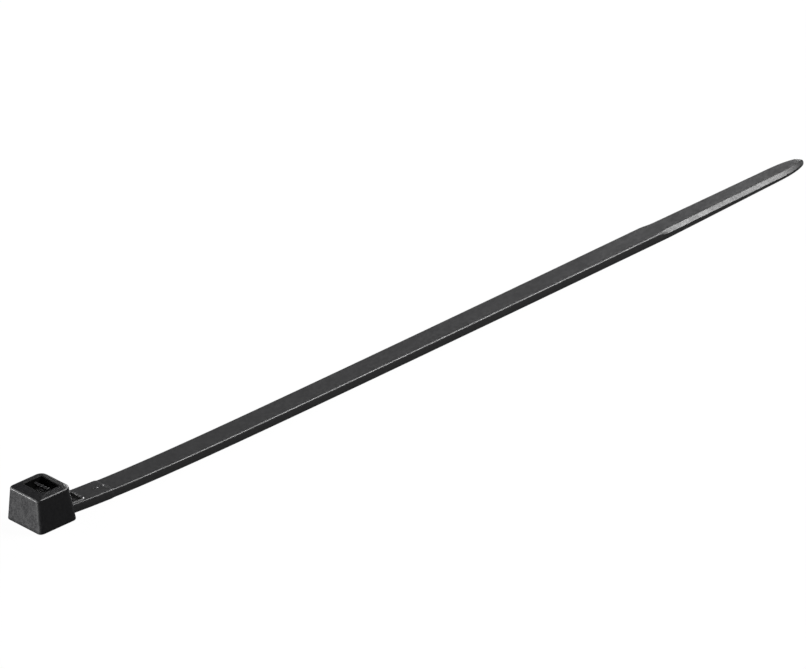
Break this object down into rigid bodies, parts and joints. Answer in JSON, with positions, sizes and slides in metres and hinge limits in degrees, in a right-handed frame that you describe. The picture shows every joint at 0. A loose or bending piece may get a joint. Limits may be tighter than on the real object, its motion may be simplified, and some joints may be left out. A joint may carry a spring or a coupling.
{
  "type": "cable tie",
  "caption": "Straight self-locking nylon strap with a toothed underside and a drafted head that holds a ratchet pawl in its slot.",
  "frame": {"origin": "on the underside, in the middle of the passage in the head that the strap is threaded through", "axes": "+X along the strap from the head to the tip, +Z the way the threaded strap leaves the head and the smooth outer face of the strap, +Y across the strap"},
  "size_m": [0.14, 0.007, 0.0049],
  "materials": {
    "nylon": "satin, fine moulded grain"
  },
  "bodies": {
    "root": {"head": "nylon", "strap": "nylon"}
  },
  "joints": []
}
